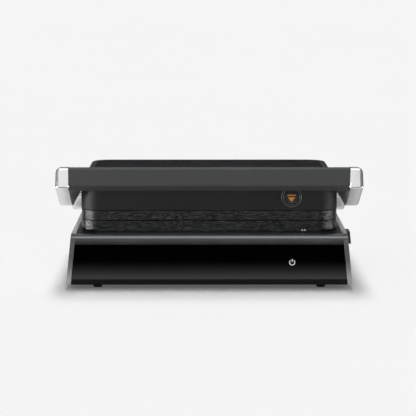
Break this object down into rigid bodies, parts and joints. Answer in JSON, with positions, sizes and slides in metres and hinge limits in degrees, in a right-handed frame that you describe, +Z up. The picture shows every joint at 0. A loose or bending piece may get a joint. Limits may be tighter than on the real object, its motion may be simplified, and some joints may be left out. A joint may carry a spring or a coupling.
{
  "type": "panini press",
  "caption": "Table-top contact grill with a floating lid on swinging side arms, a cross handle, ribbed plates, a lid that opens flat, a side drip tray, plate releases and a slide lock.",
  "frame": {"origin": "middle of the overall box, at the height of the surface that the feet stand on", "axes": "+X to the right seen from the front, +Y to the rear, +Z up"},
  "size_m": [0.3614, 0.3326, 0.1455],
  "materials": {
    "housing_plastic": "fine moulded texture",
    "bezel_paint": "satin dark grey metallic paint",
    "panel_glass": "black backed, polished",
    "side_aluminium": "satin brushed",
    "arm_aluminium": "satin bead blasted",
    "handle_paint": "satin dark grey metallic paint",
    "cast_plate": "dark non-stick coating over a coarse cast surface",
    "lid_plastic": "fine moulded texture",
    "lid_gloss": "polished, bluish black",
    "steel": "drawn steel",
    "reflector_steel": "aluminised sheet",
    "rubber": "matte",
    "board": "solder mask",
    "button_gloss": "satin gloss",
    "tray_plastic": "fine moulded texture",
    "ceramic": "glazed ceramic"
  },
  "bodies": {
    "base": {"base_housing": "housing_plastic", "base_bottom_cover": "housing_plastic", "front_bezel": "bezel_paint", "control_panel_glass": "panel_glass", "control_board": "board", "left_side_panel": "side_aluminium", "right_side_panel": "side_aluminium", "left_hinge_tower": "housing_plastic", "right_hinge_tower": "housing_plastic", "left_hinge_bush": "steel", "right_hinge_bush": "steel", "lower_grill_plate": "cast_plate", "lower_heater": "steel", "lower_reflector": "reflector_steel", "lower_thermostat": "ceramic", "cable_gland": "rubber", "power_terminal_block": "ceramic", "foot_front_left": "rubber", "foot_front_right": "rubber", "foot_rear_left": "rubber", "foot_rear_right": "rubber", "cover_screw_front_left": "steel", "cover_screw_front_right": "steel", "cover_screw_rear_left": "steel", "cover_screw_rear_right": "steel"},
    "shaft": {"hinge_shaft": "steel"},
    "arms": {"left_arm": "arm_aluminium", "left_arm_cover": "handle_paint", "left_lid_pivot_pin": "steel", "right_arm": "arm_aluminium", "right_arm_cover": "handle_paint", "right_lid_pivot_pin": "steel", "handle_bar": "handle_paint"},
    "lid": {"lid_housing": "lid_plastic", "lid_top_panel": "lid_gloss", "upper_grill_plate": "cast_plate", "upper_heater": "steel", "upper_reflector": "reflector_steel", "upper_thermostat": "ceramic", "upper_button_ring": "button_gloss"},
    "upper_button": {"upper_release_button": "button_gloss", "upper_button_spring": "steel"},
    "tray": {"drip_tray": "tray_plastic"},
    "lower_slider": {"lower_release_slider": "button_gloss", "lower_slider_spring": "steel"},
    "lock": {"lock_knob": "button_gloss", "lock_rod": "steel"}
  },
  "joints": [
    {"name": "press_gap", "type": "hinge", "parent": "base", "child": "shaft", "pos_m": [0, 0.1455, 0.0785], "axis": [-1, 0, 0], "range_deg": [0, 12]},
    {"name": "lid_open", "type": "hinge", "parent": "shaft", "child": "arms", "pos_m": [0, 0.1455, 0.0785], "axis": [-1, 0, 0], "range_deg": [0, 168]},
    {"name": "lid_level", "type": "hinge", "parent": "arms", "child": "lid", "pos_m": [0, 0.0055, 0.1035], "axis": [-1, 0, 0], "range_deg": [-12, 0]},
    {"name": "upper_release", "type": "slide", "parent": "lid", "child": "upper_button", "axis": [0, 1, 0], "range_m": [0, 0.0035], "stiffness_N_per_m": 400},
    {"name": "tray_slide", "type": "slide", "parent": "base", "child": "tray", "axis": [-1, 0, 0], "range_m": [0, 0.15]},
    {"name": "lower_release", "type": "slide", "parent": "base", "child": "lower_slider", "axis": [0, -1, 0], "range_m": [0, 0.0035], "stiffness_N_per_m": 400},
    {"name": "lock_slide", "type": "slide", "parent": "base", "child": "lock", "axis": [0, 1, 0], "range_m": [0, 0.01]}
  ],
  "couplings": [
    {"joint": "lid_level", "follows": "press_gap", "ratio": -1}
  ]
}
